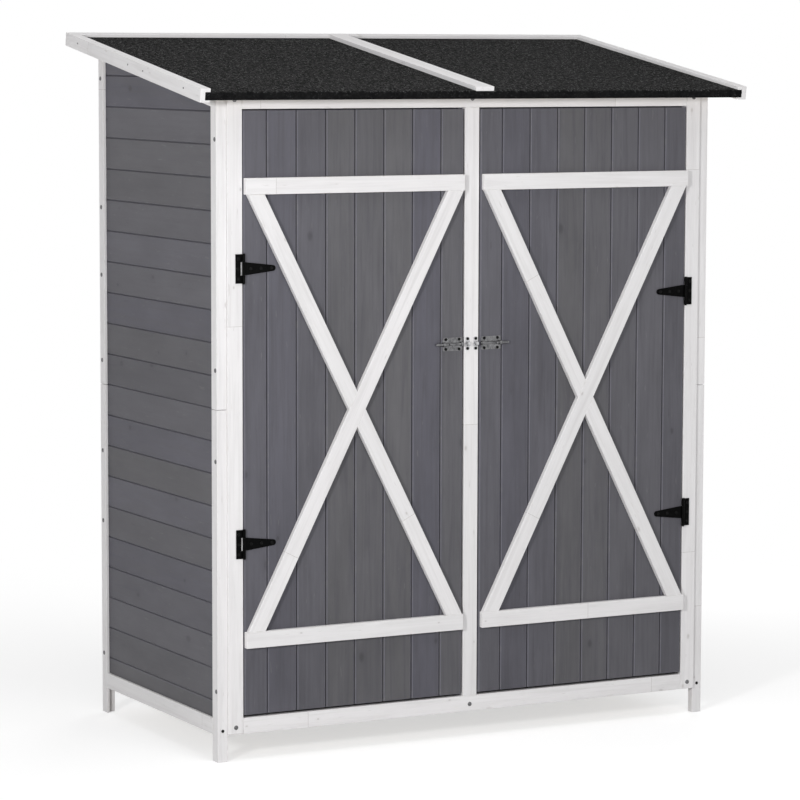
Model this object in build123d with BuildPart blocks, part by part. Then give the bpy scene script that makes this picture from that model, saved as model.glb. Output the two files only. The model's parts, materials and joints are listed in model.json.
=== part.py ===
from build123d import *
import os
from math import cos, floor, radians, sin, sqrt, tan

# Garden shed of painted fir: two boarded side walls on legs, a framed front with two braced doors,
# a boarded back, a boarded floor and a felted roof that falls towards the front.
# Millimetres, +Z up, the doors face -Y and the origin is on the ground under the middle of the roof.

# Overall sizes
roof_width = 1390.0
roof_depth = 760.0
height = 1600.0
roof_pitch = 9.1
front_overhang = 60.0
back_overhang = 42.0
side_overhang = 65.0
leg_height = 60.0
seam_height = 781.0
seam_gap = 1.0

# Timber of the walls: side posts, front and back frames
post_thickness = 24.0
post_width = 28.0
post_setback = 5.0
frame_thickness = 24.0
stile_width = 36.0
bottom_rail_height = 36.0
top_rail_height = 29.0
lip_thickness = 7.0
rebate = 10.0
joint_gap = 0.3

# Tongue-and-groove boards
board_pitch = 72.0
board_gap = 0.4
wall_board = 10.0
door_board = 12.0
floor_board = 12.0
groove_chamfer = 2.5
tongue_length = 4.0
tongue_thickness = 3.0
tongue_clearance = 0.2
board_end_clearance = 0.5
narrowest_board = 20.0

# Floor bearers and door stops
bearer_width = 36.0
bearer_height = 24.0
bearer_count = 3
stop_width = 12.0
stop_clearance = 0.5

# Doors
door_gap = 2.0
door_meeting_gap = 3.5
door_bottom_gap = 6.0
door_top_gap = 3.0
lath_width = 36.0
lath_thickness = 13.0
lath_meeting_inset = 3.5
lath_hinge_inset = 1.0
top_lath_drop = 146.0
bottom_lath_rise = 150.0
brace_inset = 6.0

# Roof panels and their trim
deck_thickness = 15.0
felt_thickness = 2.5
channel_width = 24.0
channel_web = 12.0
channel_top = 8.0
channel_bottom = 5.0
strip_width = 46.0
strip_thickness = 10.0
strip_web = 8.0
strip_setback = 1.0
strip_web_setback = 8.0
panel_clearance = 0.5
batten_width = 24.0
batten_height = 36.0

# Tee hinges
leaf_height = 64.0
leaf_width = 18.0
leaf_thickness = 2.0
slot_width = 2.5
knuckle_radius = 3.5
knuckle_standoff = 0.5
knuckle_gap = 0.4
hinge_pin_radius = 1.8
pin_clearance = 0.05
pin_head_radius = 2.8
pin_head_height = 1.5
strap_length = 78.0
strap_root = 28.0
strap_tip = 13.0
strap_shoulder = 8.0
left_upper_hinge_drop = 161.0
right_upper_hinge_drop = 245.0
lower_hinge_rise = 195.0

# Barrel bolts
bolt_rise = 801.0
bolt_radius = 3.0
bolt_travel = 20.0
bolt_lift = 0.8
bolt_clearance = 0.08
bolt_tip_setback = 1.5
bolt_tip_chamfer = 1.0
bolt_plate_length = 51.0
bolt_plate_height = 30.0
bolt_plate_thickness = 1.5
bolt_plate_setback = 2.5
plate_corner = 3.0
guide_length = 6.0
guide_wall = 1.8
knob_radius = 2.2
knob_height = 10.0
knob_setback = 37.0
keeper_width = 10.0
keeper_clearance = 0.5
keeper_inset = 7.5

# Fasteners, shown by their heads
frame_screw_radius = 5.0
frame_screw_rise = 0.9
small_screw_radius = 3.4
small_screw_rise = 1.3
nail_radius = 2.0
nail_rise = 0.6
head_chamfer = 0.4
cross_slot_width = 0.9
cross_slot_depth = 0.5
leaf_screw_edge = 10.0
leaf_screw_inset = 12.0
strap_screw_root = 18.0
strap_screw_tip = 10.0
bolt_screw_inset = 8.5
bolt_screw_edge = 4.0
post_screw_rises = (98.0, 82.0)
post_screw_drops = (96.0, 73.0)
front_seam_screws = (-114.0, 86.0)
back_seam_screws = (-323.0, -157.0, 56.0, 256.0, 414.0)
foot_screw_rise = 16.0
leg_screw_rise = 10.0
head_screw_drop = 9.0
nail_places = (89.0, 310.0, 395.0)
nail_back_inset = 74.0
nail_drop = 14.0

# Where the walls stand
front_y = -roof_depth / 2 + front_overhang
back_y = roof_depth / 2 - back_overhang
outer_x = roof_width / 2 - side_overhang
inner_x = outer_x - post_thickness
board_face_x = outer_x - lip_thickness
post_front_y = front_y + post_setback
post_core = post_width - rebate
frame_bottom = leg_height
rail_top = frame_bottom + bottom_rail_height
board_foot = rail_top - rebate

# The roof plane: its top rises from the front edge to the full height at the back
slope = radians(roof_pitch)
panel_depth = felt_thickness + deck_thickness
under_drop = channel_top + panel_depth
channel_height = under_drop + channel_bottom
slope_length = (roof_depth - channel_height * sin(slope)) / cos(slope)
roof_front_y = -roof_depth / 2
roof_front_z = height - slope_length * sin(slope)
roof_origin = (0, roof_front_y, roof_front_z)
roof_top = Plane(origin=roof_origin, x_dir=(1, 0, 0), z_dir=(0, -sin(slope), cos(slope)))
roof_end = Plane(origin=roof_origin, x_dir=(1, 0, 0), z_dir=(0, -cos(slope), -sin(slope)))
roof_side = Plane(origin=roof_origin, x_dir=(0, cos(slope), sin(slope)), z_dir=(1, 0, 0))
deck_underside = roof_top.offset(-under_drop)


def under_roof(y):
    """Height of the roof's underside at depth y."""
    return roof_front_z + (y - roof_front_y) * tan(slope) - under_drop / cos(slope)


# Door openings
head_z = under_roof(front_y) - top_rail_height
opening_outer_x = inner_x - stile_width
opening_inner_x = stile_width / 2
door_foot = rail_top + door_bottom_gap
door_head = head_z - door_top_gap
door_width = opening_outer_x - opening_inner_x - door_gap - door_meeting_gap
door_outer_x = opening_outer_x - door_gap
door_inner_x = opening_inner_x + door_meeting_gap

# The laths across each door, and the space for the braces between them
top_lath_z = door_head - top_lath_drop - lath_width / 2
bottom_lath_z = door_foot + bottom_lath_rise + lath_width / 2
lath_length = door_width - lath_meeting_inset - lath_hinge_inset
lath_centre = door_inner_x + lath_meeting_inset + lath_length / 2
brace_foot = bottom_lath_z + lath_width / 2
brace_head = top_lath_z - lath_width / 2

# Hinge axes and bolts: the hinges are placed from the laths, clear of the braces
hinge_x = opening_outer_x - door_gap / 2
hinge_y = front_y - knuckle_radius - knuckle_standoff
hinges = {
    "left": (brace_head - left_upper_hinge_drop, brace_foot + lower_hinge_rise),
    "right": (brace_head - right_upper_hinge_drop, brace_foot + lower_hinge_rise),
}
side_signs = {"left": -1, "right": 1}
bolt_z = door_foot + bolt_rise
bolt_y = front_y - bolt_plate_thickness - bolt_lift - bolt_radius
bolt_plate_x = door_inner_x + bolt_plate_setback + bolt_plate_length / 2
bolt_length = bolt_plate_length + bolt_travel
keeper_x = opening_inner_x - keeper_inset

front_face = Plane.XZ.offset(-front_y)
os.makedirs("parts", exist_ok=True)


def save(piece, name):
    """Label a finished piece and write it."""
    piece.part.label = name
    export_step(piece.part, f"parts/{name}.step")


def save_pair(left, name):
    """Write a left-hand piece and its mirror image on the right."""
    save(left, f"left_{name}")
    with BuildPart() as right:
        mirror(left.part, about=Plane.YZ)
    save(right, f"right_{name}")


def outline(points):
    """Add one closed straight-edged face to the sketch in hand."""
    Polygon(*points, align=None)


def board_rows(low, high, first):
    """Boards side by side from low to high, as (start, end): the first one is ripped to width first."""
    rows = []
    start = low
    width = first if first > narrowest_board else first + board_pitch
    while start < high:
        end = start + width
        if high - end < narrowest_board:
            end = high
        rows.append((start, end))
        start = end
        width = board_pitch
    return rows


def centred_rows(low, high):
    """Boards side by side with two equal ripped boards at the edges."""
    full_boards = floor((high - low) / board_pitch) - 1
    return board_rows(low, high, (high - low - full_boards * board_pitch) / 2)


def draw_boards(rows, thickness, place):
    """Add tongue-and-groove sections to the sketch; place turns (across, depth) into its points."""
    tongue_low = (thickness - tongue_thickness) / 2
    tongue_high = (thickness + tongue_thickness) / 2
    groove_low = tongue_low - tongue_clearance
    groove_high = tongue_high + tongue_clearance
    groove_length = tongue_length + tongue_clearance
    for start, end in rows:
        has_tongue = end < rows[-1][1]
        has_groove = start > rows[0][0]
        top = end - board_gap if has_tongue else end
        points = [(start + groove_chamfer, 0), (top - groove_chamfer, 0), (top, groove_chamfer)]
        if has_tongue:
            tip = top + tongue_length
            points += [(top, tongue_low), (tip, tongue_low), (tip, tongue_high), (top, tongue_high)]
        points += [(top, thickness), (start, thickness)]
        if has_groove:
            root = start + groove_length
            points += [(start, groove_high), (root, groove_high), (root, groove_low), (start, groove_low)]
        points.append((start, groove_chamfer))
        outline([place(across, depth) for across, depth in points])


# Side posts: an L section whose lip covers the board ends, with a seam at mid-height
def draw_posts():
    """Sections of the left wall's front and back post."""
    outline([
        (-outer_x, post_front_y),
        (-inner_x, post_front_y),
        (-inner_x, post_front_y + post_core),
        (-board_face_x, post_front_y + post_core),
        (-board_face_x, post_front_y + post_width),
        (-outer_x, post_front_y + post_width),
    ])
    outline([
        (-outer_x, back_y),
        (-inner_x, back_y),
        (-inner_x, back_y - post_core),
        (-board_face_x, back_y - post_core),
        (-board_face_x, back_y - post_width),
        (-outer_x, back_y - post_width),
    ])


with BuildPart() as lower_posts:
    with BuildSketch(Plane.XY):
        draw_posts()
    extrude(amount=seam_height - seam_gap)
save_pair(lower_posts, "lower_posts")

with BuildPart() as upper_posts:
    with BuildSketch(Plane.XY.offset(seam_height)):
        draw_posts()
    extrude(amount=height - seam_height)
    split(bisect_by=deck_underside, keep=Keep.BOTTOM)
save_pair(upper_posts, "upper_posts")

# Side rails: a lip outside and a lower core that the boards stand on or run up to
lip_front_y = post_front_y + post_width
lip_back_y = back_y - post_width
core_front_y = post_front_y + post_core
core_back_y = back_y - post_core

with BuildPart() as side_bottom_rail:
    with BuildSketch(Plane.YZ.offset(-outer_x)):
        outline([
            (lip_front_y, frame_bottom),
            (lip_back_y, frame_bottom),
            (lip_back_y, rail_top),
            (lip_front_y, rail_top),
        ])
    extrude(amount=lip_thickness)
    with BuildSketch(Plane.YZ.offset(-board_face_x)):
        outline([
            (core_front_y, frame_bottom),
            (core_back_y, frame_bottom),
            (core_back_y, board_foot),
            (core_front_y, board_foot),
        ])
    extrude(amount=post_thickness - lip_thickness)
save_pair(side_bottom_rail, "bottom_rail")


def draw_under_roof(near_y, far_y, depth):
    """A band of the given depth, measured straight down, along the roof's underside."""
    outline([
        (near_y, under_roof(near_y) - depth),
        (far_y, under_roof(far_y) - depth),
        (far_y, under_roof(far_y)),
        (near_y, under_roof(near_y)),
    ])


board_head_drop = top_rail_height - rebate
with BuildPart() as side_top_rail:
    with BuildSketch(Plane.YZ.offset(-outer_x)):
        draw_under_roof(lip_front_y, lip_back_y, top_rail_height)
    extrude(amount=lip_thickness)
    with BuildSketch(Plane.YZ.offset(-board_face_x)):
        draw_under_roof(core_front_y, core_back_y, board_head_drop)
    extrude(amount=post_thickness - lip_thickness)
save_pair(side_top_rail, "top_rail")

# Side boards lie in the rebates of the posts and rails
side_board_start = Plane.XZ.offset(-(core_front_y + board_end_clearance))
side_board_length = core_back_y - core_front_y - 2 * board_end_clearance
ripped_board = (seam_height - board_foot) % board_pitch


def side_board_point(across, depth):
    return (-board_face_x + depth, across)


with BuildPart() as lower_boards:
    with BuildSketch(side_board_start):
        draw_boards(board_rows(board_foot, seam_height, ripped_board), wall_board, side_board_point)
    extrude(amount=-side_board_length)
save_pair(lower_boards, "lower_boards")

with BuildPart() as upper_boards:
    board_head = under_roof(core_back_y) - board_head_drop
    with BuildSketch(side_board_start):
        draw_boards(board_rows(seam_height, board_head, board_pitch), wall_board, side_board_point)
    extrude(amount=-side_board_length)
    split(bisect_by=roof_top.offset(-under_drop - board_head_drop * cos(slope)), keep=Keep.BOTTOM)
save_pair(upper_boards, "upper_boards")

# Front frame: two stiles, a head rail and a bottom rail between them, and the centre post
with BuildPart() as front_stile:
    with BuildSketch(front_face):
        outline([
            (-inner_x, frame_bottom),
            (-opening_outer_x, frame_bottom),
            (-opening_outer_x, height),
            (-inner_x, height),
        ])
    extrude(amount=-frame_thickness)
    split(bisect_by=deck_underside, keep=Keep.BOTTOM)
save_pair(front_stile, "front_stile")

front_rail_end = opening_outer_x - joint_gap
with BuildPart() as front_head_rail:
    with BuildSketch(front_face):
        outline([
            (-front_rail_end, head_z),
            (front_rail_end, head_z),
            (front_rail_end, height),
            (-front_rail_end, height),
        ])
    extrude(amount=-frame_thickness)
    split(bisect_by=deck_underside, keep=Keep.BOTTOM)
save(front_head_rail, "front_head_rail")

with BuildPart() as front_bottom_rail:
    with BuildSketch(front_face):
        with Locations((0, (frame_bottom + rail_top) / 2)):
            Rectangle(2 * front_rail_end, bottom_rail_height)
    extrude(amount=-frame_thickness)
save(front_bottom_rail, "front_bottom_rail")

with BuildPart() as front_centre_post:
    with BuildSketch(front_face):
        with Locations((0, (rail_top + head_z) / 2)):
            Rectangle(stile_width, head_z - rail_top)
    extrude(amount=-frame_thickness)
save(front_centre_post, "front_centre_post")

# Door stops: a strip on each side of the centre post, just behind the closed doors
stop_depth = frame_thickness - door_board - stop_clearance
with BuildPart() as door_stops:
    with BuildSketch(Plane.XZ.offset(-(front_y + frame_thickness))):
        stop_x = opening_inner_x + stop_width / 2
        with Locations((-stop_x, (rail_top + head_z) / 2), (stop_x, (rail_top + head_z) / 2)):
            Rectangle(stop_width, head_z - rail_top)
    extrude(amount=stop_depth)
save(door_stops, "door_stops")

# Back frame: rebated like the side walls, with a centre stile
lip_inner_y = back_y - lip_thickness
frame_inner_y = back_y - frame_thickness
stile_core = stile_width - rebate
back_head = under_roof(frame_inner_y)

with BuildPart() as back_stile:
    with BuildSketch(Plane.XY.offset(frame_bottom)):
        outline([
            (-inner_x, frame_inner_y),
            (-inner_x + stile_core, frame_inner_y),
            (-inner_x + stile_core, lip_inner_y),
            (-inner_x + stile_width, lip_inner_y),
            (-inner_x + stile_width, back_y),
            (-inner_x, back_y),
        ])
    extrude(amount=height - frame_bottom)
    split(bisect_by=deck_underside, keep=Keep.BOTTOM)
save_pair(back_stile, "back_stile")

lip_edge_x = inner_x - stile_width
core_edge_x = inner_x - stile_core
with BuildPart() as back_bottom_rail:
    with BuildSketch(Plane.XZ.offset(-lip_inner_y)):
        with Locations((0, (frame_bottom + rail_top) / 2)):
            Rectangle(2 * lip_edge_x, bottom_rail_height)
    extrude(amount=-lip_thickness)
    with BuildSketch(Plane.XZ.offset(-frame_inner_y)):
        with Locations((0, (frame_bottom + board_foot) / 2)):
            Rectangle(2 * core_edge_x, bottom_rail_height - rebate)
    extrude(amount=-(frame_thickness - lip_thickness))
save(back_bottom_rail, "back_bottom_rail")

back_lip_foot = back_head - stile_width
back_core_foot = back_head - stile_core
with BuildPart() as back_top_rail:
    with BuildSketch(Plane.XZ.offset(-lip_inner_y)):
        with Locations((0, (back_lip_foot + height) / 2)):
            Rectangle(2 * lip_edge_x, height - back_lip_foot)
    extrude(amount=-lip_thickness)
    with BuildSketch(Plane.XZ.offset(-frame_inner_y)):
        with Locations((0, (back_core_foot + height) / 2)):
            Rectangle(2 * core_edge_x, height - back_core_foot)
    extrude(amount=-(frame_thickness - lip_thickness))
    split(bisect_by=deck_underside, keep=Keep.BOTTOM)
save(back_top_rail, "back_top_rail")

centre_core = stile_width - 2 * rebate
with BuildPart() as back_centre_stile:
    with BuildSketch(Plane.XZ.offset(-lip_inner_y)):
        with Locations((0, (rail_top + back_lip_foot) / 2)):
            Rectangle(stile_width, back_lip_foot - rail_top)
    extrude(amount=-lip_thickness)
    with BuildSketch(Plane.XZ.offset(-frame_inner_y)):
        with Locations((0, (board_foot + back_core_foot) / 2)):
            Rectangle(centre_core, back_core_foot - board_foot)
    extrude(amount=-(frame_thickness - lip_thickness))
save(back_centre_stile, "back_centre_stile")

back_board_length = core_edge_x - centre_core / 2 - 2 * board_end_clearance
back_board_starts = (-core_edge_x + board_end_clearance, centre_core / 2 + board_end_clearance)
with BuildPart() as back_boards:
    for start_x in back_board_starts:
        with BuildSketch(Plane.YZ.offset(start_x)):
            back_rows = board_rows(board_foot, back_core_foot, board_pitch)
            draw_boards(back_rows, wall_board, lambda across, depth: (lip_inner_y - depth, across))
        extrude(amount=back_board_length)
save(back_boards, "back_boards")

# Floor: boards that run front to back on three bearers between the frames
floor_front_y = front_y + frame_thickness
floor_back_y = back_y - frame_thickness
floor_underside = rail_top - floor_board
bearer_run = (floor_back_y - floor_front_y - bearer_width) / (bearer_count - 1)
with BuildPart() as floor_bearers:
    with BuildSketch(Plane.XY.offset(floor_underside - bearer_height)):
        with Locations((0, (floor_front_y + floor_back_y) / 2)):
            with GridLocations(0, bearer_run, 1, bearer_count):
                Rectangle(2 * inner_x, bearer_width)
    extrude(amount=bearer_height)
save(floor_bearers, "floor_bearers")

with BuildPart() as floor_boards:
    with BuildSketch(Plane.XZ.offset(-floor_front_y)):
        floor_rows = centred_rows(-inner_x, inner_x)
        draw_boards(floor_rows, floor_board, lambda across, depth: (across, rail_top - depth))
    extrude(amount=-(floor_back_y - floor_front_y))
save(floor_boards, "floor_boards")

# Roof panels: a deck on each side, with felt on top that turns down over the front edge.
# The turned edges meet in the middle, in front of the joint strip's web.
panel_outer_x = roof_width / 2 - channel_web - panel_clearance
panel_inner_x = strip_web / 2 + panel_clearance
panel_width = panel_outer_x - panel_inner_x
panel_end = slope_length - channel_web - panel_clearance
felt_top = -channel_top
felt_foot = -under_drop

with BuildPart() as roof_deck:
    with BuildSketch(roof_side.offset(-panel_outer_x)):
        outline([
            (felt_thickness, felt_foot),
            (panel_end, felt_foot),
            (panel_end, felt_top - felt_thickness),
            (felt_thickness, felt_top - felt_thickness),
        ])
    extrude(amount=panel_width)
save_pair(roof_deck, "roof_deck")

with BuildPart() as roof_felt:
    with BuildSketch(roof_side.offset(-panel_outer_x)):
        outline([
            (0, felt_foot),
            (felt_thickness, felt_foot),
            (felt_thickness, felt_top - felt_thickness),
            (panel_end, felt_top - felt_thickness),
            (panel_end, felt_top),
            (0, felt_top),
        ])
    extrude(amount=panel_width)
    with BuildSketch(roof_side.offset(-panel_inner_x)):
        outline([
            (0, felt_foot),
            (felt_thickness, felt_foot),
            (felt_thickness, felt_top),
            (0, felt_top),
        ])
    extrude(amount=panel_inner_x - panel_clearance / 2)
save_pair(roof_felt, "roof_felt")

# Roof trim: grooved channels that hold the panel edges, and the strip over the middle joint
with BuildPart() as roof_channel:
    with BuildSketch(roof_end):
        outline([
            (-roof_width / 2, 0),
            (-roof_width / 2 + channel_width, 0),
            (-roof_width / 2 + channel_width, felt_top),
            (-roof_width / 2 + channel_web, felt_top),
            (-roof_width / 2 + channel_web, felt_foot),
            (-roof_width / 2 + channel_width, felt_foot),
            (-roof_width / 2 + channel_width, -channel_height),
            (-roof_width / 2, -channel_height),
        ])
    extrude(amount=-slope_length)
save_pair(roof_channel, "roof_channel")

rear_channel_x = roof_width / 2 - channel_width
with BuildPart() as roof_rear_channel:
    with BuildSketch(roof_side.offset(-rear_channel_x)):
        outline([
            (slope_length, 0),
            (slope_length - channel_width, 0),
            (slope_length - channel_width, felt_top),
            (slope_length - channel_web, felt_top),
            (slope_length - channel_web, felt_foot),
            (slope_length - channel_width, felt_foot),
            (slope_length - channel_width, -channel_height),
            (slope_length, -channel_height),
        ])
    extrude(amount=2 * rear_channel_x)
    with BuildSketch(roof_side.offset(-panel_outer_x)):
        outline([
            (slope_length, felt_foot),
            (slope_length - channel_web, felt_foot),
            (slope_length - channel_web, felt_top),
            (slope_length, felt_top),
        ])
    extrude(amount=2 * panel_outer_x)
save(roof_rear_channel, "roof_rear_channel")

with BuildPart() as roof_joint_strip:
    with BuildSketch(roof_end.offset(-strip_setback)):
        with Locations((0, felt_top + strip_thickness / 2)):
            Rectangle(strip_width, strip_thickness)
    extrude(amount=-(slope_length - channel_width - strip_setback))
    with BuildSketch(roof_end.offset(-strip_web_setback)):
        with Locations((0, (felt_top + felt_foot) / 2)):
            Rectangle(strip_web, panel_depth)
    extrude(amount=-(slope_length - channel_web - strip_web_setback))
save(roof_joint_strip, "roof_joint_strip")

# Roof battens: under the decks, against the inner faces of the front and back frames
batten_ranges = (
    (floor_front_y, floor_front_y + batten_width),
    (floor_back_y - batten_width, floor_back_y),
)
with BuildPart() as roof_battens:
    for near_y, far_y in batten_ranges:
        with BuildSketch(Plane.YZ.offset(-inner_x)):
            draw_under_roof(near_y, far_y, batten_height)
        extrude(amount=2 * inner_x)
save(roof_battens, "roof_battens")

# Doors: vertical boards held by two laths and two crossed braces on the front
brace_rise = brace_head - brace_foot
brace_span = door_width - 2 * brace_inset


def brace_cut():
    """Length of a brace's level end cut, for a brace that fills its span from corner to corner."""
    across = lath_width ** 2 * brace_span
    left_over = brace_rise ** 2 - lath_width ** 2
    diagonal = brace_rise ** 2 + brace_span ** 2
    return (sqrt(across ** 2 + left_over * lath_width ** 2 * diagonal) - across) / left_over


def draw_brace(centre_x, lean):
    """A brace from rail to rail; lean is 1 where it rises to the right and -1 to the left."""
    low_x = centre_x - lean * brace_span / 2
    high_x = centre_x + lean * brace_span / 2
    cut = lean * brace_cut()
    outline([
        (low_x, brace_foot),
        (low_x + cut, brace_foot),
        (high_x, brace_head),
        (high_x - cut, brace_head),
    ])


for side, sign in side_signs.items():
    door_centre = sign * (door_outer_x + door_inner_x) / 2

    with BuildPart() as door_boards:
        with BuildSketch(Plane.XY.offset(door_foot)):
            door_rows = centred_rows(door_centre - door_width / 2, door_centre + door_width / 2)
            draw_boards(door_rows, door_board, lambda across, depth: (across, front_y + depth))
        extrude(amount=door_head - door_foot)
    save(door_boards, f"{side}_door_boards")

    with BuildPart() as top_lath:
        with BuildSketch(front_face):
            with Locations((sign * lath_centre, top_lath_z)):
                Rectangle(lath_length, lath_width)
        extrude(amount=lath_thickness)
    save(top_lath, f"{side}_door_top_rail")

    with BuildPart() as bottom_lath:
        with BuildSketch(front_face):
            with Locations((sign * lath_centre, bottom_lath_z)):
                Rectangle(lath_length, lath_width)
        extrude(amount=lath_thickness)
    save(bottom_lath, f"{side}_door_bottom_rail")

    with BuildPart() as brace:
        with BuildSketch(front_face):
            draw_brace(door_centre, 1)
        extrude(amount=lath_thickness)
    save(brace, f"{side}_door_long_brace")

    with BuildPart() as cut_braces:
        with BuildSketch(front_face):
            draw_brace(door_centre, -1)
        extrude(amount=lath_thickness)
        with BuildSketch(front_face):
            draw_brace(door_centre, 1)
        extrude(amount=lath_thickness, mode=Mode.SUBTRACT)
    save(cut_braces, f"{side}_door_cut_braces")

# Tee hinges: a slotted leaf on the stile, a tapered strap on the door and a riveted pin
ear_height = (leaf_height - strap_root) / 2 - knuckle_gap
slot_edge = knuckle_radius + slot_width
bore_radius = hinge_pin_radius + pin_clearance
hinge_list = [(side, side_signs[side], z) for side in hinges for z in hinges[side]]


def draw_knuckle(sign, radius):
    with Locations((sign * hinge_x, hinge_y)):
        Circle(radius)


with BuildPart() as hinge_leaves:
    for side, sign, hinge_z in hinge_list:
        leaf_foot = hinge_z - leaf_height / 2
        leaf_head = hinge_z + leaf_height / 2
        with BuildSketch(front_face):
            outline([
                (sign * hinge_x, leaf_foot),
                (sign * (hinge_x + leaf_width), leaf_foot),
                (sign * (hinge_x + leaf_width), leaf_head),
                (sign * hinge_x, leaf_head),
                (sign * hinge_x, leaf_head - ear_height),
                (sign * (hinge_x + slot_edge), leaf_head - ear_height),
                (sign * (hinge_x + slot_edge), leaf_foot + ear_height),
                (sign * hinge_x, leaf_foot + ear_height),
            ])
        extrude(amount=leaf_thickness)
        for ear_foot in (leaf_foot, leaf_head - ear_height):
            with BuildSketch(Plane.XY.offset(ear_foot)):
                draw_knuckle(sign, knuckle_radius)
            extrude(amount=ear_height)
            with BuildSketch(Plane.XY.offset(ear_foot)):
                draw_knuckle(sign, bore_radius)
            extrude(amount=ear_height, mode=Mode.SUBTRACT)
save(hinge_leaves, "hinge_leaves")

with BuildPart() as hinge_pins:
    for side, sign, hinge_z in hinge_list:
        pin_foot = hinge_z - leaf_height / 2
        pin_head = hinge_z + leaf_height / 2
        with BuildSketch(Plane.XY.offset(pin_foot)):
            draw_knuckle(sign, hinge_pin_radius)
        extrude(amount=leaf_height)
        for cap_foot in (pin_foot - pin_head_height, pin_head):
            with BuildSketch(Plane.XY.offset(cap_foot)):
                draw_knuckle(sign, pin_head_radius)
            extrude(amount=pin_head_height)
save(hinge_pins, "hinge_pins")

for side, sign in side_signs.items():
    with BuildPart() as hinge_straps:
        for hinge_z in hinges[side]:
            tip_x = hinge_x - strap_length + strap_tip / 2
            with BuildSketch(front_face):
                outline([
                    (sign * hinge_x, hinge_z - strap_root / 2),
                    (sign * (hinge_x - strap_shoulder), hinge_z - strap_root / 2),
                    (sign * tip_x, hinge_z - strap_tip / 2),
                    (sign * tip_x, hinge_z + strap_tip / 2),
                    (sign * (hinge_x - strap_shoulder), hinge_z + strap_root / 2),
                    (sign * hinge_x, hinge_z + strap_root / 2),
                ])
                with Locations((sign * tip_x, hinge_z)):
                    Circle(strap_tip / 2)
            extrude(amount=leaf_thickness)
            with BuildSketch(Plane.XY.offset(hinge_z - strap_root / 2)):
                draw_knuckle(sign, knuckle_radius)
            extrude(amount=strap_root)
            with BuildSketch(Plane.XY.offset(hinge_z - strap_root / 2)):
                draw_knuckle(sign, bore_radius)
            extrude(amount=strap_root, mode=Mode.SUBTRACT)
    save(hinge_straps, f"{side}_hinge_straps")


# Barrel bolts: a plate with two guides on each door, a sliding rod, and a keeper on the post
def draw_guide(bore):
    """Arched section of a guide or keeper with a bore of the given radius, from the plate outwards."""
    wall = bore + guide_wall
    with Locations((bolt_y, bolt_z)):
        Circle(wall)
    plate_face = front_y - bolt_plate_thickness
    with Locations(((bolt_y + plate_face) / 2, bolt_z)):
        Rectangle(plate_face - bolt_y, 2 * wall)
    with Locations((bolt_y, bolt_z)):
        Circle(bore, mode=Mode.SUBTRACT)


guide_run = (bolt_plate_length - guide_length) / 2
for side, sign in side_signs.items():
    with BuildPart() as bolt_plate:
        with BuildSketch(front_face):
            with Locations((sign * bolt_plate_x, bolt_z)):
                RectangleRounded(bolt_plate_length, bolt_plate_height, plate_corner)
        extrude(amount=bolt_plate_thickness)
        for guide_x in (bolt_plate_x - guide_run, bolt_plate_x + guide_run):
            with BuildSketch(Plane.YZ.offset(sign * guide_x)):
                draw_guide(bolt_radius + bolt_clearance)
            extrude(amount=guide_length / 2, both=True)
    save(bolt_plate, f"{side}_bolt_plate")

    # Stored drawn back, with the tip just inside the door's edge
    with BuildPart() as bolt:
        tip_x = door_inner_x + bolt_tip_setback
        with BuildSketch(Plane.YZ.offset(sign * tip_x)):
            with Locations((bolt_y, bolt_z)):
                Circle(bolt_radius)
        extrude(amount=sign * bolt_length)
        tip_edges = bolt.edges().filter_by(GeomType.CIRCLE)
        chamfer(tip_edges, length=bolt_tip_chamfer)
        with BuildSketch(Plane.XZ.offset(-bolt_y)):
            with Locations((sign * (tip_x + knob_setback), bolt_z)):
                Circle(knob_radius)
        extrude(amount=knob_height)
        fillet(bolt.faces().sort_by(Axis.Y)[0].edges(), radius=knob_radius / 2)
    save(bolt, f"{side}_bolt")

with BuildPart() as bolt_keepers:
    for sign in side_signs.values():
        with BuildSketch(front_face):
            with Locations((sign * keeper_x, bolt_z)):
                RectangleRounded(keeper_width, bolt_plate_height, plate_corner)
        extrude(amount=bolt_plate_thickness)
        with BuildSketch(Plane.YZ.offset(sign * keeper_x)):
            draw_guide(bolt_radius + keeper_clearance)
        extrude(amount=guide_length / 2, both=True)
save(bolt_keepers, "bolt_keepers")


# Fastener heads, each seated on the face that it holds down
def screw_head(radius, rise):
    """A flat head with a bevelled rim and a cross slot, standing on its own XY plane."""
    with BuildPart() as head:
        with BuildSketch(Plane.XY):
            Circle(radius)
        extrude(amount=rise)
        chamfer(head.faces().sort_by(Axis.Z)[-1].edges(), length=head_chamfer)
        with BuildSketch(Plane.XY.offset(rise)):
            Rectangle(cross_slot_width, radius)
            Rectangle(radius, cross_slot_width)
        extrude(amount=-cross_slot_depth, mode=Mode.SUBTRACT)
    return head.part


def on_front(x, z, proud=0.0):
    """A seat on the front face, proud of it, or behind it where proud is negative."""
    return Plane(origin=(x, front_y - proud, z), x_dir=(1, 0, 0), z_dir=(0, -1, 0))


def on_side(sign, y, z):
    """A seat on a side wall's outer face."""
    return Plane(origin=(sign * outer_x, y, z), x_dir=(0, 1, 0), z_dir=(sign, 0, 0))


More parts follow.
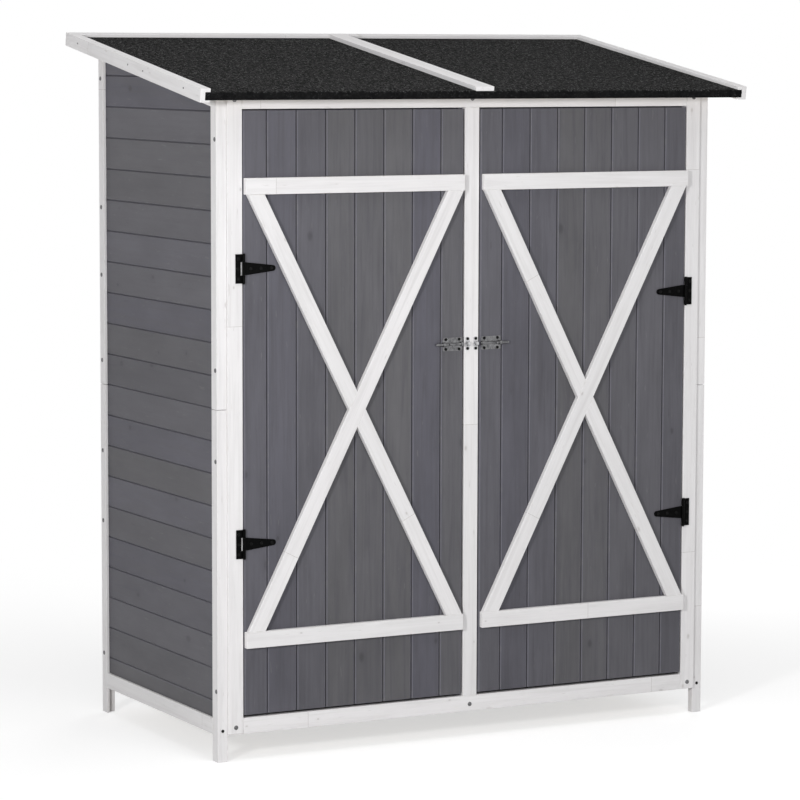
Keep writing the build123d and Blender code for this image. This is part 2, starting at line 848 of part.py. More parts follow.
stile_x = inner_x - stile_width / 2
post_screw_lines = (
    (front_y + frame_thickness / 2, post_screw_rises[0], post_screw_drops[0], front_seam_screws),
    (back_y - frame_thickness / 2, post_screw_rises[1], post_screw_drops[1], back_seam_screws),
)
frame_screw_seats = []
for sign in side_signs.values():
    for screw_y, rise, drop, seam_screws in post_screw_lines:
        frame_screw_seats.append(on_side(sign, screw_y, frame_bottom + rise))
        for seam_offset in seam_screws:
            frame_screw_seats.append(on_side(sign, screw_y, seam_height + seam_offset))
        frame_screw_seats.append(on_side(sign, screw_y, under_roof(screw_y) - drop))
for screw_x in (-stile_x, 0, stile_x):
    frame_screw_seats.append(on_front(screw_x, frame_bottom + foot_screw_rise))
    frame_screw_seats.append(on_front(screw_x, under_roof(front_y) - head_screw_drop))
frame_head = screw_head(frame_screw_radius, frame_screw_rise)
with BuildPart() as frame_screws:
    with Locations(*frame_screw_seats):
        add(frame_head)
save(frame_screws, "frame_screws")

small_head = screw_head(small_screw_radius, small_screw_rise)
bolt_screw_run = bolt_plate_length / 2 - bolt_screw_inset
bolt_screw_spread = bolt_plate_height / 2 - bolt_screw_edge
leaf_screw_x = hinge_x + leaf_screw_inset
leaf_screw_spread = leaf_height / 2 - leaf_screw_edge
strap_screw_end = strap_length - strap_screw_tip
strap_screw_places = (strap_screw_root, (strap_screw_root + strap_screw_end) / 2, strap_screw_end)
post_x = (outer_x + inner_x) / 2
root_screw_seats = []
for side, sign, hinge_z in hinge_list:
    for screw_z in (hinge_z - leaf_screw_spread, hinge_z, hinge_z + leaf_screw_spread):
        root_screw_seats.append(on_front(sign * leaf_screw_x, screw_z, leaf_thickness))
for sign in side_signs.values():
    root_screw_seats.append(on_front(sign * post_x, frame_bottom + leg_screw_rise, -post_setback))
    for screw_z in (bolt_z - bolt_screw_spread, bolt_z + bolt_screw_spread):
        root_screw_seats.append(on_front(sign * keeper_x, screw_z, bolt_plate_thickness))
with BuildPart() as hardware_screws:
    with Locations(*root_screw_seats):
        add(small_head)
save(hardware_screws, "hardware_screws")

for side, sign in side_signs.items():
    door_screw_seats = []
    for hinge_z in hinges[side]:
        for place in strap_screw_places:
            door_screw_seats.append(on_front(sign * (hinge_x - place), hinge_z, leaf_thickness))
    for screw_x in (bolt_plate_x - bolt_screw_run, bolt_plate_x + bolt_screw_run):
        for screw_z in (bolt_z - bolt_screw_spread, bolt_z + bolt_screw_spread):
            door_screw_seats.append(on_front(sign * screw_x, screw_z, bolt_plate_thickness))
    with BuildPart() as door_screws:
        with Locations(*door_screw_seats):
            add(small_head)
    save(door_screws, f"{side}_door_screws")

trim_nail_places = nail_places + (slope_length - nail_back_inset,)
with BuildPart() as trim_nails:
    for sign in side_signs.values():
        with BuildSketch(roof_side.offset(sign * roof_width / 2)):
            with Locations(*[(place, -nail_drop) for place in trim_nail_places]):
                Circle(nail_radius)
        extrude(amount=sign * nail_rise)
save(trim_nails, "trim_nails")
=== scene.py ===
import json
from collections import namedtuple
from math import cos, pi, radians, sin

import bpy
from mathutils import Matrix, Vector, noise


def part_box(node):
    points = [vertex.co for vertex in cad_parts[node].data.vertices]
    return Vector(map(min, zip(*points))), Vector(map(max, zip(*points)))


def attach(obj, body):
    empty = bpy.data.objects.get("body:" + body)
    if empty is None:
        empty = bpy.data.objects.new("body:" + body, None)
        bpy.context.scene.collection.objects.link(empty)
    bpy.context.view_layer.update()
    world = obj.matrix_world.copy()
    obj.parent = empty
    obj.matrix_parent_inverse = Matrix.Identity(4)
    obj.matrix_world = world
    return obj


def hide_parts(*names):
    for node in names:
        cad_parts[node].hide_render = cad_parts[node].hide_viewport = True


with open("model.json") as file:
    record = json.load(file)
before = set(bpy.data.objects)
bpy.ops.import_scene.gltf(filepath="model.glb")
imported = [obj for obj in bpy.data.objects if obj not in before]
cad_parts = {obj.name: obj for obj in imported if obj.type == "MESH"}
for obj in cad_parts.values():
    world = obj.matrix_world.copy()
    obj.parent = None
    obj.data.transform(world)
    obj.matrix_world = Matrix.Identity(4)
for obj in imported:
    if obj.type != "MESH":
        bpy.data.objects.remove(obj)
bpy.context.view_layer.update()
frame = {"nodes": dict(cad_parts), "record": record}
nodes = frame["nodes"]
slot_of = {part["node"]: part["material_slot"] for part in frame["record"]["subparts"]}

# How a timber lies: its direction, the one across it, and its boards or a glued joint if it has any
Run = namedtuple("Run", "along across boards joint")
# Board spacing, where the boards start, and how strong the painted shade in their grooves is
Boards = namedtuple("Boards", "width start dirt")

# Noise drawn out along a timber
Grain = namedtuple("Grain", "stretch scale detail roughness distortion")

# Noise on the lie of the felt, per metre across and along the roof
Swell = namedtuple("Swell", "across along seed share")

# A studio lamp
Lamp = namedtuple("Lamp", "place aim size power")

# Camera: metres and degrees in the frame of the shed
camera_place = Vector((-3.646, -6.882, 1.568))
camera_yaw = 27.83
camera_pitch = 6.04
camera_roll = 0.15
camera_lens = 150.1

# Timber layout, as the walls, doors and floor are boarded
roof_pitch = radians(9.1)
board_pitch = 0.072
seam_height = 0.781
door_edge_board = 0.05725
floor_edge_board = 0.066
brace_end_cut = 0.04

# Glued lengths: the joints are evenly spaced, and start at another place on each piece
joint_spacing = 0.9
joint_width = 0.0007
joint_darkness = 0.8
joint_stagger = 0.61803
bottom_rail_joint = -0.411

# Painted shade in the grooves between boards, and paint that is paler higher up and darker towards the bottom
wall_groove_shade = 0.15
door_groove_shade = 0.56
groove_shade_width = 0.0015
arris_groove_shade = 1.8
height_tone_low = 0.1
height_tone_high = 1.5

# Grain of the timber, how it shifts from piece to piece, and the part of each noise that shows
rings_grain = Grain(0.045, 85.0, 7.0, 0.62, 0.6)
fibres_grain = Grain(0.018, 620.0, 3.0, 0.7, 0.0)
flecks_grain = Grain(0.16, 150.0, 2.0, 0.5, 0.0)
mottle_grain = Grain(0.35, 14.0, 4.0, 0.6, 0.0)
piece_serial = 1.37
joint_serial = 0.77
piece_shift = 3.7
tone_shift = 9.0
streak_range = (0.42, 0.72)
fibre_range = (0.45, 0.75)
fibre_share = 0.35
fleck_range = (0.68, 0.76)
scuff_range = (0.31, 0.24)
roughness_range = (0.3, 0.7)
roughness_rise = 0.08
roughness_fall = 0.06
fibre_relief = 0.5
knot_relief = -0.5
grain_depth = 0.0008

# Knots: their outline, and their core and halo in shares of their radius
knot_stretch = 0.6
knot_sizes = (0.5, 1.4)
knot_raggedness = 0.04
knot_core = 0.35
knot_halo = 2.4
halo_share = 0.4

# Rounded arrises and their rubbed finish
timber_arris = 0.0009
metal_arris = 0.0004
arris_segments = 2
arris_angle = radians(35)
weld_distance = 0.00001
rub_scale = 38.0
rub_range = (0.48, 0.66)
rub_dulling = 0.12
speckle_scale = 420.0
speckle_range = (0.3, 0.7, 0.5, 1.0)
speckle_relief = 0.1
speckle_depth = 0.0003

# Roofing felt: its form
felt_thickness = 0.0025
felt_fold_height = 0.0175
felt_fold_middle = 0.6
felt_fold_radius = 0.005
felt_fold_steps = 6
felt_strip_edge = 0.0045
felt_step = 0.016
felt_lift = 0.0012
felt_held_edge = 0.02
felt_calm_edge = 0.04
felt_swells = (Swell(9.0, 5.0, 4.0, 0.7), Swell(34.0, 21.0, 9.0, 0.3))

# Roofing felt: its grit, clumps, streaks and bare fold
fold_top = 0.05
fold_bare = 0.5
fold_share = 0.85
grit_scale = 430.0
fine_grit_scale = 900.0
pale_grit = 0.96
pale_share = 0.7
clump_stretch = 0.45
clump_scale = 170.0
clump_range = (0.49, 0.63)
wear_stretch = 0.22
wear_scale = 34.0
wear_range = (0.42, 0.72)
wear_share = 0.35
felt_roughness = (0.3, 0.7, 0.95, 0.82)
felt_gloss = 0.04
felt_relief = 0.6
felt_depth = 0.0012

# Clouding and fine texture of the metals
clouding_scale = 160.0
clouding_range = (0.35, 0.7)
texture_range = (0.3, 0.7)
texture_gloss = 0.07
texture_dulling = 0.09
texture_depth = 0.0004

# Studio
ambient_strength = 0.27
lamps = {
    "key_light": Lamp(Vector((-4.2, -3.4, 1.85)), Vector((-0.2, -0.3, 0.85)), 0.5, 126.0),
    "front_light": Lamp(Vector((0.0, -3.1, 1.5)), Vector((0.0, -0.3, 0.85)), 1.2, 21.0),
    "top_light": Lamp(Vector((-0.5, -1.2, 4.2)), Vector((0.0, 0.0, 1.2)), 1.8, 41.0),
    "rear_light": Lamp(Vector((2.4, 3.0, 1.1)), Vector((0.2, 0.2, 0.8)), 2.0, 75.0),
}
floor_radius = 9.0
floor_sides = 64
floor_bounce = 0.80
floor_shade = 0.55
floor_lift = 0.60
shadow_radius = 1.2
fade_radius = 2.6

along_x = Vector((1, 0, 0))
along_y = Vector((0, 1, 0))
along_z = Vector((0, 0, 1))
up_slope = Vector((0, cos(roof_pitch), sin(roof_pitch)))
off_slope = Vector((0, -sin(roof_pitch), cos(roof_pitch)))


def felt_corner():
    """A point on the line where the tops of the felts would meet their front folds."""
    low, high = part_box("left_roof_felt")
    return Vector((0, low.y, low.z + felt_fold_height * cos(roof_pitch)))


# Shader building blocks
def new_material(name):
    """A material with its tree and its main shader."""
    made = bpy.data.materials.new(name)
    made.use_nodes = True
    return made, made.node_tree, made.node_tree.nodes["Principled BSDF"]


def set_input(tree, socket, value):
    """Link a socket, or set it to a constant."""
    if isinstance(value, bpy.types.NodeSocket):
        tree.links.new(value, socket)
    else:
        socket.default_value = value


def shade(tree, kind, inputs, **settings):
    """A shader node with its settings and inputs."""
    made = tree.nodes.new("ShaderNode" + kind)
    for key, value in settings.items():
        setattr(made, key, value)
    for key, value in inputs.items():
        set_input(tree, made.inputs[key], value)
    return made


def object_point(tree):
    """The place on the piece, in metres in the frame of the shed, carried along when the piece moves."""
    return shade(tree, "TexCoord", {}).outputs["Object"]


def calc(tree, operation, *values):
    """A sum on one or more numbers."""
    return shade(tree, "Math", dict(enumerate(values)), operation=operation).outputs[0]


def dot(tree, vector, direction):
    """The part of a vector along a fixed direction."""
    made = shade(tree, "VectorMath", {0: vector, 1: direction}, operation="DOT_PRODUCT")
    return made.outputs["Value"]


def join_xyz(tree, x, y, z):
    """A vector from its three parts."""
    return shade(tree, "CombineXYZ", {0: x, 1: y, 2: z}).outputs[0]


def channel(tree, colour, index):
    """One of the three parts of a colour."""
    return shade(tree, "SeparateColor", {0: colour}).outputs[index]


def cloud(tree, vector, scale, detail=4.0, roughness=0.6, distortion=0.0):
    """Soft noise from 0 to 1."""
    inputs = {
        "Vector": vector,
        "Scale": scale,
        "Detail": detail,
        "Roughness": roughness,
        "Distortion": distortion,
    }
    return shade(tree, "TexNoise", inputs).outputs[0]


def span(tree, value, low, high, to_low=0.0, to_high=1.0):
    """A value moved from one range to another and held inside it."""
    inputs = {"Value": value, "From Min": low, "From Max": high, "To Min": to_low, "To Max": to_high}
    return shade(tree, "MapRange", inputs).outputs[0]


def mix(tree, factor, first, second, blend="MIX"):
    """Two colours mixed."""
    made = tree.nodes.new("ShaderNodeMix")
    made.data_type = "RGBA"
    made.blend_type = blend
    set_input(tree, made.inputs[0], factor)
    set_input(tree, made.inputs[6], first)
    set_input(tree, made.inputs[7], second)
    return made.outputs[2]


def brighten(tree, colour, factor):
    """A colour multiplied by a number."""
    grey = shade(tree, "CombineColor", {0: factor, 1: factor, 2: factor}).outputs[0]
    return mix(tree, 1.0, colour, grey, "MULTIPLY")


def rgb(red, green, blue):
    """An opaque colour."""
    return (red, green, blue, 1.0)


def bump(tree, shader, height, strength, depth):
    """Let a height give the surface its relief."""
    made = shade(tree, "Bump", {"Height": height, "Strength": strength, "Distance": depth})
    tree.links.new(made.outputs[0], shader.inputs["Normal"])


# Timber: paint or bare wood over fir with grain, fibres and knots that run along each piece
looks = {
    "white_paint": {
        "base": rgb(0.815, 0.800, 0.806),
        "other": rgb(0.795, 0.785, 0.790),
        "streak": rgb(0.655, 0.640, 0.640),
        "knot": rgb(0.40, 0.37, 0.35),
        "worn": rgb(0.66, 0.635, 0.60),
        "streaks": 0.62,
        "tone": 0.045,
        "mottle": 0.10,
        "height_tone": 0.04,
        "flecks": 0.30,
        "scuffs": 0.30,
        "knots": 0.42,
        "knots_per_metre": 15.0,
        "knot_share": 0.34,
        "knot_radius": 0.055,
        "roughness": 0.50,
        "gloss": 0.30,
        "relief": 0.16,
        "arris": 1.0,
    },
    "grey_paint": {
        "base": rgb(0.099, 0.097, 0.118),
        "other": rgb(0.106, 0.104, 0.110),
        "streak": rgb(0.073, 0.071, 0.082),
        "knot": rgb(0.048, 0.046, 0.051),
        "worn": rgb(0.138, 0.136, 0.143),
        "streaks": 0.75,
        "tone": 0.17,
        "mottle": 0.56,
        "height_tone": 0.19,
        "flecks": 0.20,
        "scuffs": 0.60,
        "knots": 0.55,
        "knots_per_metre": 8.0,
        "knot_share": 0.36,
        "knot_radius": 0.055,
        "roughness": 0.54,
        "gloss": 0.26,
        "relief": 0.28,
        # Rounded edges brightened above 1 as a painted highlight
        "arris": 1.27,
    },
    "bare_fir": {
        "base": rgb(0.52, 0.45, 0.36),
        "other": rgb(0.56, 0.48, 0.38),
        "streak": rgb(0.41, 0.33, 0.24),
        "knot": rgb(0.19, 0.12, 0.07),
        "worn": rgb(0.48, 0.39, 0.29),
        "streaks": 0.85,
        "tone": 0.26,
        "mottle": 0.35,
        "height_tone": 0.05,
        "flecks": 0.25,
        "scuffs": 0.25,
        "knots": 0.85,
        "knots_per_metre": 7.0,
        "knot_share": 0.32,
        "knot_radius": 0.06,
        "roughness": 0.64,
        "gloss": 0.30,
        "relief": 0.30,
        "arris": 1.0,
    },
}


def board_place(tree, width, boards):
    """A place across the boards, counted in boards."""
    return calc(tree, "DIVIDE", calc(tree, "SUBTRACT", width, boards.start), boards.width)


def painted_groove_shade(tree, board, boards):
    """The painted shade at a place across the boards, darkest in the grooves between them."""
    edge = calc(tree, "PINGPONG", board, 0.5)
    return span(tree, edge, 0.0, groove_shade_width / boards.width, boards.dirt, 0.0)


def knots(tree, look, length, width, rings, seed):
    """The cores of scattered knots and the halos around them."""
    place = join_xyz(tree, calc(tree, "MULTIPLY", length, knot_stretch), calc(tree, "ADD", width, seed), 0.0)
    inputs = {"Vector": place, "Scale": look["knots_per_metre"]}
    cells = shade(tree, "TexVoronoi", inputs, voronoi_dimensions="2D")
    chosen = calc(tree, "LESS_THAN", channel(tree, cells.outputs["Color"], 0), look["knot_share"])
    size = span(tree, channel(tree, cells.outputs["Color"], 1), 0.0, 1.0, *knot_sizes)
    uneven = calc(tree, "SUBTRACT", rings, 0.5)
    ragged = calc(tree, "MULTIPLY_ADD", uneven, knot_raggedness, cells.outputs["Distance"])
    ragged = calc(tree, "DIVIDE", ragged, size)
    radius = look["knot_radius"]
    core = calc(tree, "MULTIPLY", span(tree, ragged, radius, knot_core * radius), chosen)
    halo = calc(tree, "MULTIPLY", span(tree, ragged, knot_halo * radius, radius), chosen)
    return core, halo


def timber(name, look, run, seed):
    """Wood that runs along one direction, in one piece, in boards or in glued lengths."""
    made, tree, shader = new_material(name)
    point = object_point(tree)
    length = dot(tree, point, run.along)
    width = dot(tree, point, run.across)
    depth = dot(tree, point, run.along.cross(run.across))
    serial = piece_serial * seed
    if run.boards:
        board = board_place(tree, width, run.boards)
        serial = calc(tree, "ADD", calc(tree, "FLOOR", board), serial)
    if run.joint is not None:
        turn = calc(tree, "DIVIDE", calc(tree, "SUBTRACT", length, run.joint), joint_spacing)
        serial = calc(tree, "MULTIPLY_ADD", calc(tree, "FLOOR", turn), joint_serial, serial)
        nearest = calc(tree, "PINGPONG", turn, 0.5)
        glue_line = calc(tree, "LESS_THAN", nearest, joint_width / 2 / joint_spacing)
    chance = shade(tree, "TexWhiteNoise", {"W": serial}, noise_dimensions="1D")
    tone = chance.outputs["Value"]
    length = calc(tree, "MULTIPLY_ADD", tone, tone_shift, calc(tree, "ADD", length, piece_shift * seed))

    def pattern(grain):
        """Noise drawn out along the piece."""
        place = join_xyz(tree, calc(tree, "MULTIPLY", length, grain.stretch), width, depth)
        return cloud(tree, place, grain.scale, grain.detail, grain.roughness, grain.distortion)

    rings = pattern(rings_grain)
    fibres = pattern(fibres_grain)
    flecking = pattern(flecks_grain)
    mottling = pattern(mottle_grain)
    knot, halo = knots(tree, look, length, width, rings, seed)

    streaks = calc(tree, "MULTIPLY", span(tree, rings, *streak_range), look["streaks"])
    fine = calc(tree, "MULTIPLY", span(tree, fibres, *fibre_range), fibre_share * look["streaks"])
    colour = mix(tree, channel(tree, chance.outputs["Color"], 1), look["base"], look["other"])
    colour = mix(tree, calc(tree, "MAXIMUM", streaks, fine), colour, look["streak"])
    fleck = calc(tree, "MULTIPLY", span(tree, flecking, *fleck_range), look["flecks"])
    colour = mix(tree, fleck, colour, look["knot"])
    scuff = calc(tree, "MULTIPLY", span(tree, flecking, *scuff_range), look["scuffs"])
    colour = mix(tree, scuff, colour, look["worn"])
    colour = mix(tree, calc(tree, "MULTIPLY", halo, halo_share * look["knots"]), colour, look["streak"])
    colour = mix(tree, calc(tree, "MULTIPLY", knot, look["knots"]), colour, look["knot"])
    if run.joint is not None:
        colour = mix(tree, calc(tree, "MULTIPLY", glue_line, joint_darkness), colour, look["knot"])
    lift = calc(tree, "MULTIPLY_ADD", calc(tree, "SUBTRACT", tone, 0.5), look["tone"], 1.0)
    lift = calc(tree, "MULTIPLY_ADD", calc(tree, "SUBTRACT", mottling, 0.5), look["mottle"], lift)
    # Paler higher up and darker towards the bottom
    height_tone = span(tree, dot(tree, point, along_z), height_tone_low, height_tone_high, -0.5, 0.5)
    lift = calc(tree, "MULTIPLY_ADD", height_tone, look["height_tone"], lift)
    # Painted shade: the paint is darkened in the grooves between the boards
    if run.boards:
        lift = calc(tree, "SUBTRACT", lift, painted_groove_shade(tree, board, run.boards))
    tree.links.new(brighten(tree, colour, lift), shader.inputs["Base Color"])

    roughness = look["roughness"]
    roughness = span(tree, rings, *roughness_range, roughness + roughness_rise, roughness - roughness_fall)
    tree.links.new(roughness, shader.inputs["Roughness"])
    shader.inputs["Specular IOR Level"].default_value = look["gloss"]
    relief = calc(tree, "MULTIPLY_ADD", knot, knot_relief, rings)
    relief = calc(tree, "MULTIPLY_ADD", fibres, fibre_relief, relief)
    bump(tree, shader, relief, look["relief"], grain_depth)
    return made


def arris_wear_and_painted_light(name, look, run):
    """The thin finish on the rounded edges of the timber, rubbed in places, with a painted highlight and
    painted shade in the grooves between boards.
    """
    made, tree, shader = new_material(name)
    point = object_point(tree)
    rubbed = span(tree, cloud(tree, point, rub_scale, 6.0, 0.7), *rub_range)
    speckle = span(tree, cloud(tree, point, speckle_scale, 3.0), *speckle_range)
    colour = mix(tree, calc(tree, "MULTIPLY", rubbed, speckle), look["base"], look["worn"])
    # Painted highlight: the arris factor brightens the rounded edges, above 1 on the grey paint
    lift = look["arris"]
    # Painted shade: the rounded edges are darkened more strongly in the grooves between the boards
    if run.boards:
        board = board_place(tree, dot(tree, point, run.across), run.boards)
        lift = calc(tree, "MULTIPLY_ADD", painted_groove_shade(tree, board, run.boards), -arris_groove_shade, lift)
    tree.links.new(brighten(tree, colour, lift), shader.inputs["Base Color"])
    roughness = look["roughness"]
    roughness = span(tree, rubbed, 0.0, 1.0, roughness, roughness + rub_dulling)
    tree.links.new(roughness, shader.inputs["Roughness"])
    shader.inputs["Specular IOR Level"].default_value = look["gloss"]
    bump(tree, shader, speckle, speckle_relief, speckle_depth)
    return made


def mineral_felt(name):
    """Dark grit with paler grains, laid in streaks, and bare bitumen on the folded edge."""
    made, tree, shader = new_material(name)
    point = object_point(tree)
    across = dot(tree, point, along_x)
    along = dot(tree, point, up_slope)
    height = calc(tree, "SUBTRACT", dot(tree, point, off_slope), felt_corner().dot(off_slope))
    folded = span(tree, height, -fold_top * felt_fold_radius, -fold_bare * felt_fold_radius)
    grit = shade(tree, "TexVoronoi", {"Vector": point, "Scale": grit_scale})
    fine_grit = shade(tree, "TexVoronoi", {"Vector": point, "Scale": fine_grit_scale})
    pick = channel(tree, grit.outputs["Color"], 0)
    clump_space = join_xyz(tree, across, calc(tree, "MULTIPLY", along, clump_stretch), height)
    clumps = cloud(tree, clump_space, clump_scale, 3.0, 0.7)
    wear_space = join_xyz(tree, across, calc(tree, "MULTIPLY", along, wear_stretch), 0.0)
    wear = span(tree, cloud(tree, wear_space, wear_scale, 6.0, 0.7), *wear_range)
    colour = mix(tree, pick, rgb(0.001, 0.001, 0.001), rgb(0.006, 0.006, 0.006))
    colour = mix(tree, span(tree, clumps, *clump_range), colour, rgb(0.052, 0.052, 0.052))
    colour = mix(tree, calc(tree, "MULTIPLY", wear, wear_share), colour, rgb(0.030, 0.030, 0.030))
    pale = calc(tree, "GREATER_THAN", pick, pale_grit)
    colour = mix(tree, calc(tree, "MULTIPLY", pale, pale_share), colour, rgb(0.20, 0.20, 0.20))
    bitumen = mix(tree, wear, rgb(0.006, 0.006, 0.0065), rgb(0.011, 0.011, 0.011))
    colour = mix(tree, calc(tree, "MULTIPLY", folded, fold_share), colour, bitumen)
    tree.links.new(colour, shader.inputs["Base Color"])
    tree.links.new(span(tree, clumps, *felt_roughness), shader.inputs["Roughness"])
    shader.inputs["Specular IOR Level"].default_value = felt_gloss
    relief = calc(tree, "ADD", grit.outputs["Distance"], fine_grit.outputs["Distance"])
    bump(tree, shader, relief, felt_relief, felt_depth)
    return made


# Metals
metal_looks = {
    "black_steel": {
        "colour": rgb(0.0008, 0.0008, 0.0009),
        "dull": rgb(0.0028, 0.0028, 0.0028),
        "metallic": 0.0,
        "roughness": 0.40,
        "gloss": 0.035,
        "grain": 1400.0,
        "relief": 0.18,
    },
    "zinc_steel": {
        "colour": rgb(0.24, 0.24, 0.245),
        "dull": rgb(0.09, 0.09, 0.094),
        "metallic": 1.0,
        "roughness": 0.34,
        "gloss": 0.5,
        "grain": 700.0,
        "relief": 0.10,
    },
    "keeper_steel": {
        "colour": rgb(0.60, 0.60, 0.61),
        "dull": rgb(0.40, 0.40, 0.41),
        "metallic": 1.0,
        "roughness": 0.34,
        "gloss": 0.5,
        "grain": 700.0,
        "relief": 0.10,
    },
    "screw_steel": {
        "colour": rgb(0.20, 0.20, 0.205),
        "dull": rgb(0.09, 0.09, 0.092),
        "metallic": 1.0,
        "roughness": 0.42,
        "gloss": 0.5,
        "grain": 900.0,
        "relief": 0.12,
    },
    "black_screws": {
        "colour": rgb(0.0015, 0.0015, 0.0015),
        "dull": rgb(0.005, 0.005, 0.005),
        "metallic": 0.0,
        "roughness": 0.42,
        "gloss": 0.1,
        "grain": 900.0,
        "relief": 0.12,
    },
}


def metal(name, look):
    """Plated or painted steel with faint clouding and fine texture."""
    made, tree, shader = new_material(name)
    point = object_point(tree)
    clouding = cloud(tree, point, clouding_scale, 5.0)
    texture = cloud(tree, point, look["grain"], 3.0)
    colour = mix(tree, span(tree, clouding, *clouding_range), look["colour"], look["dull"])
    tree.links.new(colour, shader.inputs["Base Color"])
    roughness = look["roughness"]
    roughness = span(tree, texture, *texture_range, roughness - texture_gloss, roughness + texture_dulling)
    tree.links.new(roughness, shader.inputs["Roughness"])
    shader.inputs["Metallic"].default_value = look["metallic"]
    shader.inputs["Specular IOR Level"].default_value = look["gloss"]
    bump(tree, shader, texture, look["relief"], texture_depth)
    return made


metals = {name: metal(name, look) for name, look in metal_looks.items()}
felt = mineral_felt("roof_felt")


# Which way each timber runs, how its boards are spaced and where its glued joints fall
def timber_run(name, seed):
    """The run of a timber node."""
    low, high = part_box(name)
    size = high - low
    if name.endswith(("lower_boards", "upper_boards")):
        return Run(along_y, along_z, Boards(board_pitch, seam_height, wall_groove_shade), None)
    if name == "back_boards":
        return Run(along_x, along_z, Boards(board_pitch, low.z, wall_groove_shade), None)
    if name == "floor_boards":
        return Run(along_y, along_x, Boards(board_pitch, low.x + floor_edge_board, wall_groove_shade), None)
    if name.endswith("door_boards"):
        return Run(along_z, along_x, Boards(board_pitch, low.x + door_edge_board, door_groove_shade), None)
    joint = joint_spacing * (joint_stagger * seed % 1)
    if name == "front_bottom_rail":
        joint = bottom_rail_joint
    if name.endswith(("brace", "braces")):
        lean = 1 if name.endswith("long_brace") else -1
        along = Vector((lean * (size.x - brace_end_cut), 0, size.z)).normalized()
        return Run(along, Vector((along.z, 0, -along.x)), None, joint)
    if name.endswith(("posts", "stile", "centre_post", "stops")):
        return Run(along_z, along_x, None, joint)
    if name.startswith(("left_top", "right_top", "left_roof", "right_roof", "roof_joint")):
        return Run(up_slope, along_x, None, joint)
    if size.x > size.y:
        return Run(along_x, along_z, None, joint)
    return Run(along_y, along_z, None, joint)


# Rounded arrises on timber and ironwork
def soften(piece, width):
    """Round a piece's edges; the rounding takes the piece's last material."""
    weld = piece.modifiers.new("join_faces", "WELD")
    weld.merge_threshold = weld_distance
    round_off = piece.modifiers.new("arris", "BEVEL")
    round_off.width = width
    round_off.segments = arris_segments
    round_off.limit_method = "ANGLE"
    round_off.angle_limit = arris_angle
    round_off.use_clamp_overlap = True
    round_off.material = len(piece.data.materials) - 1
    even = piece.modifiers.new("even_shading", "WEIGHTED_NORMAL")
    even.keep_sharp = False


# Every piece gets its finish. The keepers on the post are brighter than the other zinc.
for index, (name, piece) in enumerate(sorted(nodes.items())):
    slot = slot_of[name]
    seed = index + 1
    piece.data.materials.clear()
    if slot in looks:
        run = timber_run(name, seed)
        piece.data.materials.append(timber(f"{slot}_{name}", looks[slot], run, seed))
        piece.data.materials.append(arris_wear_and_painted_light(f"{slot}_{name}_edge", looks[slot], run))
        soften(piece, timber_arris)
    elif slot == "roof_felt":
        piece.data.materials.append(felt)
    else:
        piece.data.materials.append(metals["keeper_steel" if name == "bolt_keepers" else slot])
        if slot in ("black_steel", "zinc_steel"):
            soften(piece, metal_arris)


# Roofing felt: a sheet on each panel that lies a little uneven and folds down over the front edge
def felt_profile(length):
    """(slope, height) points from the foot of the fold to the back edge, and the number in the fold."""
    points = [(0.0, -felt_fold_height), (0.0, -felt_fold_middle * felt_fold_height)]
    for step in range(felt_fold_steps + 1):
        turn = step / felt_fold_steps * pi / 2
        points.append((felt_fold_radius * (1 - cos(turn)), felt_fold_radius * (sin(turn) - 1)))
    fold = len(points)
    steps = round((length - felt_fold_radius) / felt_step)
    for step in range(1, steps + 1):
        points.append((felt_fold_radius + (length - felt_fold_radius) * step / steps, 0.0))
    return points, fold


def felt_unevenness(x, along):
    """How high the felt lies at a place, from 0 to 1."""
    rise = 0.0
    for swell in felt_swells:
        place = Vector((x * swell.across, along * swell.along, swell.seed))
        rise += swell.share * (0.5 + 0.5 * noise.noise(place))
    return rise


def felt_sheet(name, node):
    """One sheet. Its fold runs on to the middle of the roof, in front of the joint strip."""
    low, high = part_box(node)
    corner = felt_corner()
    length = (high.y - low.y - felt_thickness * sin(roof_pitch)) / cos(roof_pitch)
    profile, fold = felt_profile(length)
    side = 1 if high.x > -low.x else -1
    outer = max(high.x, -low.x)
    columns = round((outer - felt_strip_edge) / felt_step)
    reach = [min(abs(low.x), abs(high.x))]
    reach += [felt_strip_edge + (outer - felt_strip_edge) * k / columns for k in range(columns + 1)]
    places = sorted(side * x for x in reach)
    points = []
    index = {}

    def corner_at(column, row):
        """Index of a grid point, which is made when it is first asked for."""
        if (column, row) not in index:
            x = places[column]
            along, rise = profile[row]
            edge = min(abs(x) - felt_strip_edge, outer - abs(x), along + felt_held_edge, length - along)
            calm = min(max((edge - felt_held_edge) / felt_calm_edge, 0.0), 1.0)
            lift = felt_lift * calm * felt_unevenness(x, along) if along > 0 else 0.0
            place = corner + up_slope * along + off_slope * (rise + lift)
            index[column, row] = len(points)
            points.append((x, place.y, place.z))
        return index[column, row]

    faces = []
    for column in range(len(places) - 1):
        middle = abs(places[column] + places[column + 1]) / 2
        rows = fold if middle < felt_strip_edge else len(profile)
        for row in range(rows - 1):
            faces.append((
                corner_at(column, row),
                corner_at(column + 1, row),
                corner_at(column + 1, row + 1),
                corner_at(column, row + 1),
            ))
    mesh = bpy.data.meshes.new(name)
    mesh.from_pydata(points, [], faces)
    mesh.shade_smooth()
    piece = bpy.data.objects.new(name, mesh)
    bpy.context.scene.collection.objects.link(piece)
    piece.data.materials.append(felt)
    thick = piece.modifiers.new("thickness", "SOLIDIFY")
    thick.thickness = felt_thickness
    thick.offset = -1
    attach(piece, "carcass")
    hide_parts(node)


felt_sheet("left_felt_sheet", "left_roof_felt")
felt_sheet("right_felt_sheet", "right_roof_felt")


# Stage: a white floor that takes the shadow and fades into the white background
def seen_directly(tree):
    """1 for rays that show the stage to the eye, in metal or through glass."""
    light_path = shade(tree, "LightPath", {})
    seen = calc(tree, "MAXIMUM", light_path.outputs["Is Camera Ray"], light_path.outputs["Is Glossy Ray"])
    return calc(tree, "MAXIMUM", seen, light_path.outputs["Is Transmission Ray"])


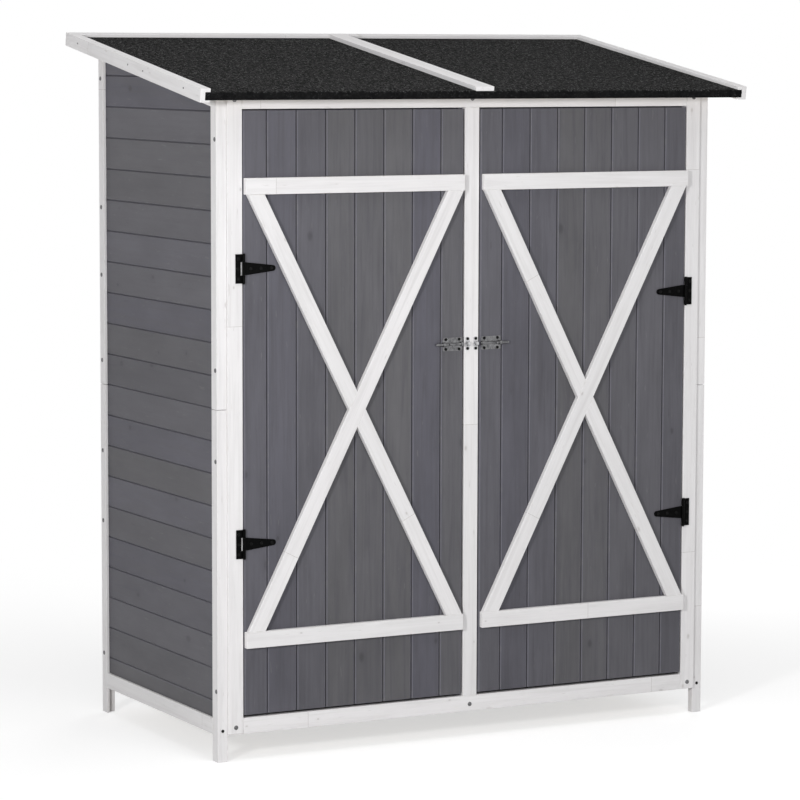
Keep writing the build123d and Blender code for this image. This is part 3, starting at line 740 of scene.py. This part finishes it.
def floor_material():
    """A matt floor that looks white, with the shadow kept near the shed."""
    made, tree, shader = new_material("studio_floor")
    tree.nodes.remove(shader)
    reach = shade(tree, "VectorMath", {0: object_point(tree)}, operation="LENGTH").outputs["Value"]
    inputs = {"Value": reach, "From Min": shadow_radius, "From Max": fade_radius}
    fade = shade(tree, "MapRange", inputs, interpolation_type="SMOOTHSTEP").outputs[0]
    matt = shade(tree, "BsdfDiffuse", {"Color": rgb(floor_bounce, floor_bounce, floor_bounce)})
    shadow = shade(tree, "BsdfDiffuse", {"Color": rgb(floor_shade, floor_shade, floor_shade)})
    lifted = shade(tree, "Emission", {"Color": rgb(1, 1, 1), "Strength": floor_lift})
    near = shade(tree, "AddShader", {0: shadow.outputs[0], 1: lifted.outputs[0]})
    white = shade(tree, "Emission", {"Color": rgb(1, 1, 1), "Strength": 1.0})
    shown = shade(tree, "MixShader", {0: fade, 1: near.outputs[0], 2: white.outputs[0]})
    both = shade(tree, "MixShader", {0: seen_directly(tree), 1: matt.outputs[0], 2: shown.outputs[0]})
    tree.links.new(both.outputs[0], tree.nodes["Material Output"].inputs["Surface"])
    return made


def lay_floor():
    """A round floor."""
    turns = [2 * pi * k / floor_sides for k in range(floor_sides)]
    rim = [(floor_radius * cos(turn), floor_radius * sin(turn), 0.0) for turn in turns]
    mesh = bpy.data.meshes.new("studio_floor")
    mesh.from_pydata(rim, [], [tuple(range(floor_sides))])
    floor = bpy.data.objects.new("studio_floor", mesh)
    floor.data.materials.append(floor_material())
    bpy.context.scene.collection.objects.link(floor)


def light_world():
    """Even light all round, on a background that looks white."""
    world = bpy.data.worlds.new("studio")
    bpy.context.scene.world = world
    world.use_nodes = True
    tree = world.node_tree
    back = tree.nodes["Background"]
    back.inputs["Color"].default_value = rgb(1, 1, 1)
    set_input(tree, back.inputs["Strength"], span(tree, seen_directly(tree), 0.0, 1.0, ambient_strength, 1.0))


def softbox(name, lamp):
    """A square lamp that lights the shed and stays out of the picture."""
    data = bpy.data.lights.new(name, "AREA")
    data.size = lamp.size
    data.energy = lamp.power
    box = bpy.data.objects.new(name, data)
    box.location = lamp.place
    box.rotation_euler = (lamp.aim - lamp.place).to_track_quat("-Z", "Y").to_euler()
    box.visible_camera = False
    bpy.context.scene.collection.objects.link(box)


def place_camera():
    """The photograph's point of view."""
    data = bpy.data.cameras.new("camera")
    data.lens = camera_lens
    camera = bpy.data.objects.new("camera", data)
    yaw = Matrix.Rotation(radians(-camera_yaw), 4, "Z")
    pitch = Matrix.Rotation(radians(90 - camera_pitch), 4, "X")
    roll = Matrix.Rotation(radians(camera_roll), 4, "Z")
    camera.matrix_world = Matrix.Translation(camera_place) @ (yaw @ pitch) @ roll
    bpy.context.scene.collection.objects.link(camera)
    bpy.context.scene.camera = camera


lay_floor()
light_world()
for name, lamp in lamps.items():
    softbox(name, lamp)
place_camera()
bpy.context.scene.view_settings.view_transform = "Standard"
